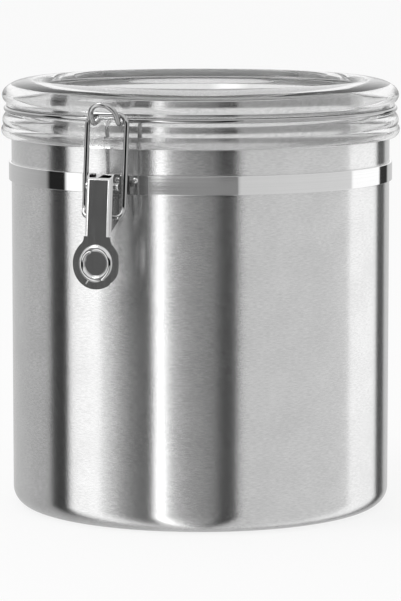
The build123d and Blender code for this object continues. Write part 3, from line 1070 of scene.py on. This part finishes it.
    def dress(self, finishes: Finishes) -> None:
        """Makes the lid, its gasket and its wire.

        Args:
            finishes: the materials.
        """
        shell, sharp = turned(self.outline(), self.turn_steps), self.sharp_degrees
        finished(
            shell, "clear_lid", "lid", Body.LID, finishes.lid, sharp, even_normals=True
        )
        seal = turned(self.gasket_outline(), self.turn_steps)
        finished(seal, "silicone_gasket", "lid_gasket", Body.LID, finishes.gasket)
        wire, steel = swept_wire(self.wire_route()), finishes.wire
        finished(wire, "ring_wire", "lid_ring_wire", Body.LID, steel, WIRE_SHARP_DEGREES)


@dataclass(frozen=True)
class Card:
    """A card in the studio, by its bearings from the camera and its heights, in degrees."""

    left: float
    right: float
    low: float
    high: float
    level: float
    soft: float = 1.0


@dataclass
class Studio:
    """The camera, the lamp, the pale floor and what the metal sees round it.

    The fields that start with clear are for rays that have passed through the clear lid. Their
    bands, bearings and borders are in degrees, and their levels are shares of white.
    """

    bearing_degrees: float = 25.5
    distance: float = 1.6445
    camera_height: float = 0.3004
    pitch_degrees: float = 7.065
    lens: float = 207.93
    clip_end: float = 50.0
    floor_radius: float = 14.0
    floor_steps: int = 96
    floor_level: float = 0.95
    floor_glow: float = 0.8
    lamp_place: Triple = (-0.9, -0.9, 1.4)
    lamp_target: Triple = (0.0, 0.0, 0.1)
    lamp_size: float = 0.7
    lamp_power: float = 6.0
    room_level: float = 0.8
    ceiling_level: float = 1.0
    ceiling_border: Pair = (0.3, 0.5)
    clear_level: float = 0.95
    clear_high_level: float = 0.5
    clear_high_edge: float = 22.0
    clear_high_border: float = 0.03
    clear_band: Pair = (-12.0, 6.0)
    clear_soft: float = 4.0
    clear_bearings: Pair = (-101.0, 112.0)
    clear_bearing_soft: float = 5.0
    clear_share: float = 0.42
    clear_lift: float = 0.08
    ramp_top: float = 4.0
    ring_of_light: tuple[Pair, ...] = (
        (-180.0, 0.69),
        (-155.0, 0.59),
        (-139.0, 0.56),
        (-115.0, 0.47),
        (-105.0, 0.39),
        (-101.5, 0.02),
        (-88.5, 0.02),
        (-86.5, 1.35),
        (-65.0, 1.35),
        (-57.0, 0.82),
        (-49.0, 0.37),
        (-41.0, 0.18),
        (-30.0, 0.15),
        (-27.8, 2.2),
        (-24.0, 3.1),
        (-20.2, 1.4),
        (-16.5, 0.82),
        (-8.0, 0.52),
        (0.0, 0.42),
        (8.0, 0.31),
        (13.5, 0.03),
        (21.8, 0.02),
        (22.7, 0.73),
        (90.0, 0.78),
        (101.5, 0.8),
        (103.0, 1.25),
        (134.2, 1.25),
        (136.5, 0.04),
        (149.0, 0.04),
        (152.5, 0.62),
        (180.0, 0.69),
    )
    cards: tuple[Card, ...] = (
        Card(-33.0, 21.5, -6.0, -4.6, 0.3, 0.3),
        Card(-62.0, -38.0, -1.5, 9.0, 0.13),
        Card(-38.0, 25.0, -1.5, 18.0, 0.01),
        Card(105.0, 181.0, 3.0, 40.0, 1.05, 3.0),
        Card(-181.0, -105.0, 3.0, 40.0, 1.05, 3.0),
        Card(179.3, 179.75, 3.0, 40.0, 1.3, 0.3),
    )

    def camera(self) -> None:
        """Sets the camera where the photograph was taken from."""
        bearing = math.radians(self.bearing_degrees)
        data = bpy.data.cameras.new("camera")
        data.lens = self.lens
        data.clip_end = self.clip_end
        camera = bpy.data.objects.new("camera", data)
        camera.location = (
            self.distance * math.sin(bearing),
            -self.distance * math.cos(bearing),
            self.camera_height,
        )
        camera.rotation_euler = (math.radians(90.0 - self.pitch_degrees), 0.0, bearing)
        bpy.context.scene.collection.objects.link(camera)
        bpy.context.scene.camera = camera

    def _ring(self, bench: Bench, turn: Maths) -> Maths:
        """The ring of light and dark that stands round the canister.

        A ramp's colours end at 1, so the levels are divided by the ramp's top and multiplied back.

        Args:
            bench: adds the nodes.
            turn: the bearing from the camera, in degrees.

        Returns:
            The ring's level.
        """
        stops = [
            ((degrees + 180.0) / 360.0, grey(level / self.ramp_top))
            for degrees, level in self.ring_of_light
        ]
        place = turn * (1 / 360.0) + 0.5
        return bench.node("ShaderNodeValToRGB", {"stops": stops}, {0: place})[0] * self.ramp_top

    def _bare_level(self, ring: Maths, turn: Maths, z: Maths) -> Maths:
        """What bare metal sees: the ring, the cards and the ceiling.

        Args:
            ring: the ring's level.
            turn: the bearing from the camera, in degrees.
            z: the sine of the height above level.

        Returns:
            The level.
        """
        level = ring
        for card in self.cards:
            low, high = (math.sin(math.radians(edge)) for edge in (card.low, card.high))
            across = turn.between(card.left, card.right, card.soft)
            upright = z.between(low, high, math.radians(card.soft))
            level = level.towards(card.level, across * upright)
        return level.towards(self.ceiling_level, z.step(*self.ceiling_border))

    def _plain_level(self, camera_ray: Maths, clear_ray: Maths, high_back: Maths) -> Maths:
        """What soft surfaces and the camera see.

        Args:
            camera_ray: 1 for rays from the camera.
            clear_ray: 1 for rays that have passed through the clear lid.
            high_back: 1 high up behind the canister.

        Returns:
            The level.
        """
        level = camera_ray * (1.0 - self.room_level) + self.room_level
        level = level.towards(self.clear_level, clear_ray)
        return level.towards(self.clear_high_level, clear_ray * high_back)

    def surroundings(self) -> None:
        """A white room for the camera, even light for soft surfaces and a ring for metal.

        Rays that have passed through the clear lid see a paler ring, in a band about level and in
        front only, and plain light elsewhere.
        """
        world = bpy.data.worlds.new("studio")
        bpy.context.scene.world = world
        world.use_nodes = True
        bench = Bench(world.node_tree)
        heading = bench.node("ShaderNodeTexCoord")[0]
        x, y, z = bench.node("ShaderNodeSeparateXYZ", None, {0: heading})
        bearing = math.radians(self.bearing_degrees)
        sine, cosine = math.sin(bearing), math.cos(bearing)
        towards = x * sine - y * cosine
        sideways = x * cosine + y * sine
        turn = sideways.angle_with(towards) * math.degrees(1.0)
        path = bench.node("ShaderNodeLightPath")
        clear_ray = path[Ray.TRANSMISSION]
        front = turn.between(*self.clear_bearings, self.clear_bearing_soft)
        low, high = (math.sin(math.radians(edge)) for edge in self.clear_band)
        near = z.between(low, high, math.radians(self.clear_soft)) * front
        mirrored = path[Ray.GLOSSY] * (1.0 - clear_ray * (1.0 - near))
        ring = self._ring(bench, turn)
        paler = ring * self.clear_share + self.clear_lift
        level = self._bare_level(ring, turn, z) * (1.0 - clear_ray) + paler * clear_ray
        high_edge, border = math.sin(math.radians(self.clear_high_edge)), self.clear_high_border
        high_back = z.step(high_edge - border, high_edge + border) * (1.0 - front)
        plain = self._plain_level(path[Ray.CAMERA], clear_ray, high_back)
        seen = plain * (1.0 - mirrored) + level * mirrored
        values = {"Color": grey(1.0), "Strength": seen}
        shader = bench.node("ShaderNodeBackground", None, values)[0]
        bench.node("ShaderNodeOutputWorld", None, {0: shader})

    def floor(self) -> None:
        """A pale floor that keeps the shadow, and that neither metal nor the clear lid shows."""
        material, bench = new_material("pale_floor")
        path = bench.node("ShaderNodeLightPath")
        matt = bench.node("ShaderNodeBsdfDiffuse", None, {"Color": grey(self.floor_level)})[0]
        glow = bench.node("ShaderNodeEmission", None, {"Color": grey(1.0), "Strength": 1.0})[0]
        share = path[Ray.CAMERA] * self.floor_glow
        shader = bench.node("ShaderNodeMixShader", None, {0: share, 1: matt, 2: glow})[0]
        bench.node("ShaderNodeOutputMaterial", None, {0: shader})
        bm = bmesh.new()
        bmesh.ops.create_circle(
            bm, cap_ends=True, radius=self.floor_radius, segments=self.floor_steps
        )
        mesh = bpy.data.meshes.new("floor")
        bm.to_mesh(mesh)
        bm.free()
        mesh.materials.append(material)
        floor = bpy.data.objects.new("floor", mesh)
        floor.visible_glossy = False
        floor.visible_transmission = False
        bpy.context.scene.collection.objects.link(floor)

    def lamp(self) -> None:
        """A square soft lamp that looks at the canister's middle."""
        data = bpy.data.lights.new("key", "AREA")
        data.size = self.lamp_size
        data.energy = self.lamp_power
        lamp = bpy.data.objects.new("key", data)
        lamp.location = self.lamp_place
        ahead = Vector(self.lamp_target) - Vector(self.lamp_place)
        lamp.rotation_euler = ahead.to_track_quat("-Z", "Y").to_euler()
        bpy.context.scene.collection.objects.link(lamp)

    def build(self) -> None:
        """Sets up everything round the canister."""
        self.camera()
        self.surroundings()
        self.floor()
        self.lamp()
        bpy.context.scene.view_settings.view_transform = "Standard"


def main() -> None:
    """Builds the canister's pieces in order and sets the studio."""
    logging.basicConfig(level=logging.INFO, format="%(name)s: %(message)s")
    finishes = Finishes.make()
    for assembly in (Can(), Latch(), Lid()):
        assembly.dress(finishes)
    Studio().build()


if __name__ == "__main__":
    main()
